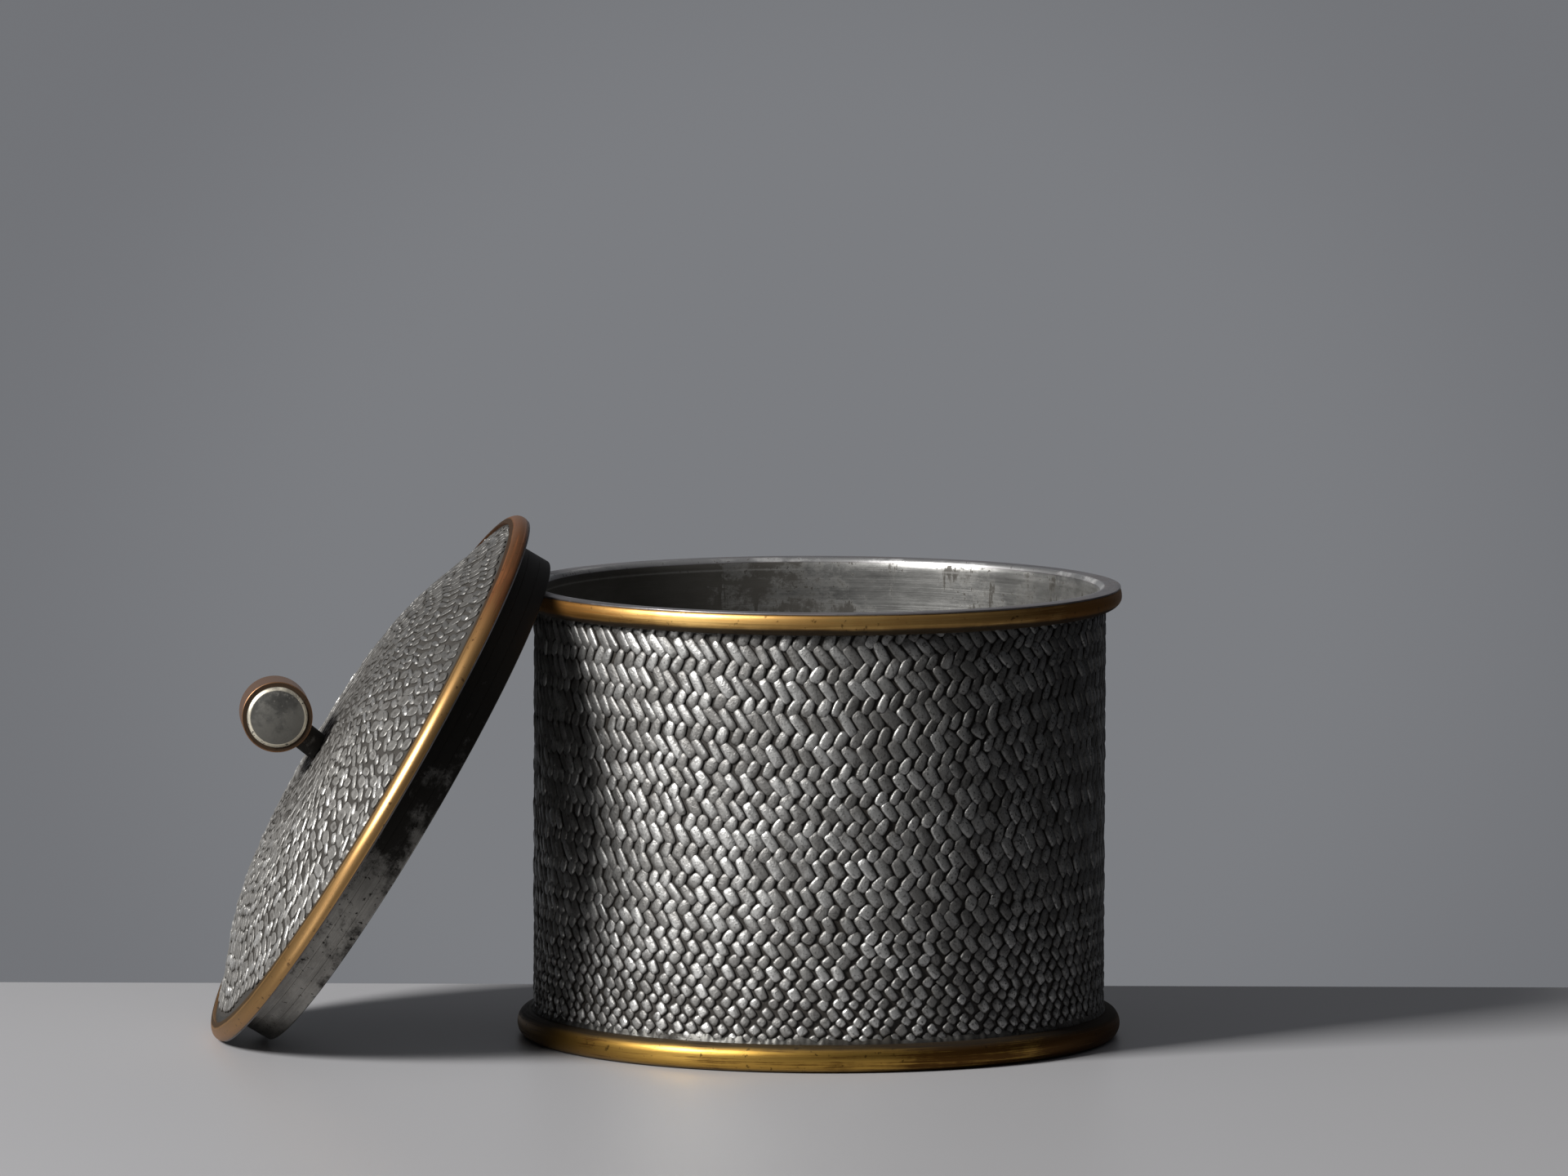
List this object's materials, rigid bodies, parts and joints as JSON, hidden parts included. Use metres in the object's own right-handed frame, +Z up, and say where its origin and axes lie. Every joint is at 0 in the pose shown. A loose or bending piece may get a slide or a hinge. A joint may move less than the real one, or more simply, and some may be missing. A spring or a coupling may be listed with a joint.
{
  "type": "lidded box",
  "caption": "Round pewter box with brass mouldings, and its domed lid with a bar knob lifted off and leaning against the side.",
  "frame": {"origin": "centre of the box's underside, on the surface it stands on", "axes": "+Z up along the box's axis; -X points from the box to the lid that leans on it; +Y completes the right-handed frame, along the knob's bar"},
  "size_m": [0.181, 0.12, 0.1038],
  "materials": {
    "pewter": "pewter with a dark patina in the hollows",
    "worn_pewter": "plain pewter, worn and lightly stained",
    "brass": "satin brass with light tarnish",
    "aged_brass": "brass aged to a reddish brown"
  },
  "bodies": {
    "box": {"body_wall": "pewter", "base_plate": "pewter", "mouth_ring": "worn_pewter", "rim_band": "brass", "foot_band": "brass"},
    "lid": {"lid_dome": "pewter", "lid_seat_ring": "worn_pewter", "lid_rim_band": "aged_brass", "lid_skirt": "worn_pewter", "knob_stem": "pewter", "knob_bar": "aged_brass", "knob_cap_front": "worn_pewter", "knob_cap_back": "worn_pewter"}
  },
  "joints": [
    {"name": "lid_lift", "type": "slide", "parent": "box", "child": "lid", "axis": [-0.8599, 0, 0.5105], "range_m": [0, 0.12]}
  ]
}
